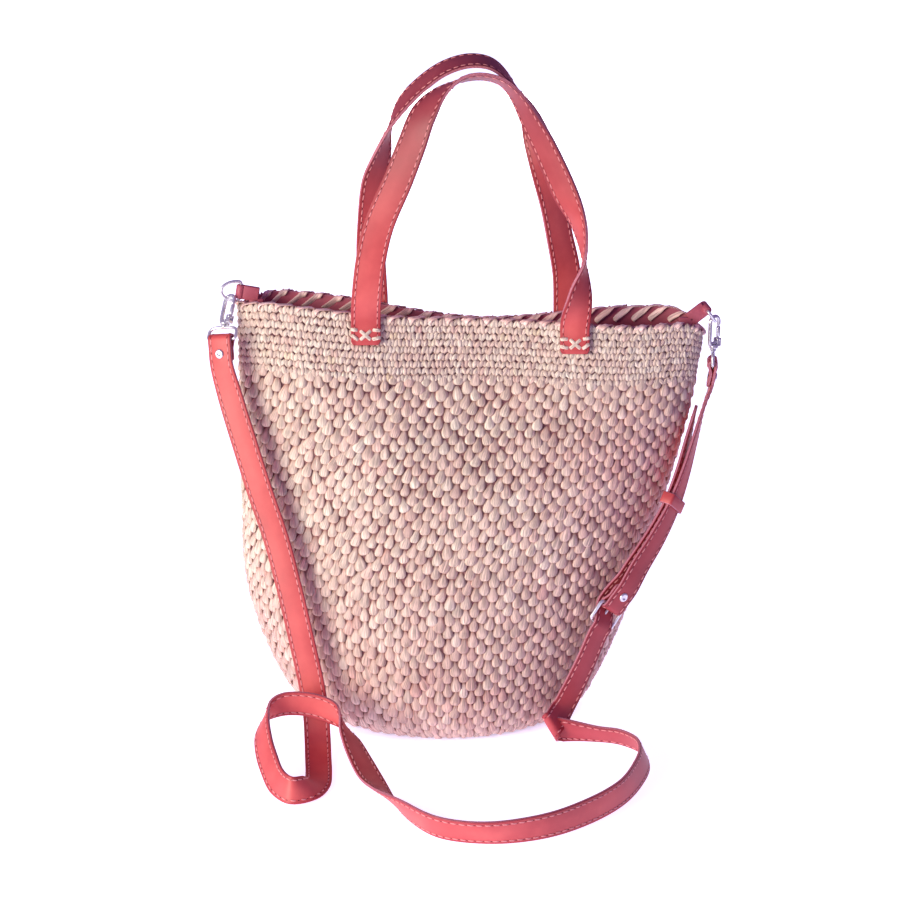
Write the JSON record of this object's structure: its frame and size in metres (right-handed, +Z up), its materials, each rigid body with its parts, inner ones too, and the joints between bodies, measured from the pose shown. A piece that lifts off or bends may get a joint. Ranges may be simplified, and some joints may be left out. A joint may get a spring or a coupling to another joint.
{
  "type": "tote bag",
  "caption": "Crocheted raffia tote bag, standing open, with leather carrying handles and a leather shoulder strap on swivel snap hooks, its slack looped on the surface in front.",
  "frame": {"origin": "middle of the base, on the surface the bag stands on", "axes": "+Z up, -Y out of the front face, +X towards the end of the mouth that carries the buckle"},
  "size_m": [0.4354, 0.4115, 0.5642],
  "materials": {
    "raffia": "crocheted natural raffia",
    "leather": "smooth coral red",
    "binding_leather": "dark plum red",
    "nickel": "bright nickel plate"
  },
  "bodies": {
    "bag": {"raffia_body": "raffia", "rim_binding": "binding_leather", "handle_front": "leather", "handle_back": "leather", "ring_tab_left": "leather", "ring_tab_right": "leather", "strap_long": "leather", "strap_short": "leather", "strap_keeper": "leather", "d_ring_left": "nickel", "hook_eye_left": "nickel", "d_ring_right": "nickel", "hook_eye_right": "nickel", "rivet_left": "nickel", "rivet_right": "nickel", "rivet_buckle": "nickel", "buckle_frame": "nickel", "buckle_prong": "nickel"},
    "hook_left": {"hook_body_left": "nickel"},
    "gate_left": {"hook_gate_left": "nickel"},
    "hook_right": {"hook_body_right": "nickel"},
    "gate_right": {"hook_gate_right": "nickel"}
  },
  "joints": [
    {"name": "hook_swivel_left", "type": "hinge", "parent": "bag", "child": "hook_left", "pos_m": [-0.1858, -0.01765, 0.34214], "axis": [0.1605, 0.6018, 0.7823], "range_deg": [-45, 5]},
    {"name": "gate_hinge_left", "type": "hinge", "parent": "hook_left", "child": "gate_left", "pos_m": [-0.18065, -0.01639, 0.34906], "axis": [-0.6121, -0.5611, 0.5572], "range_deg": [0, 30], "stiffness_Nm_per_rad": 0.03, "springref_deg": -8.59},
    {"name": "hook_swivel_right", "type": "hinge", "parent": "bag", "child": "hook_right", "pos_m": [0.22756, 0.00621, 0.3166], "axis": [0.02, 0, 0.9998], "range_deg": [-42, 2]},
    {"name": "gate_hinge_right", "type": "hinge", "parent": "hook_right", "child": "gate_right", "pos_m": [0.2316, 0.00964, 0.32352], "axis": [0.6606, -0.7506, -0.0132], "range_deg": [0, 30], "stiffness_Nm_per_rad": 0.03, "springref_deg": -8.59}
  ]
}
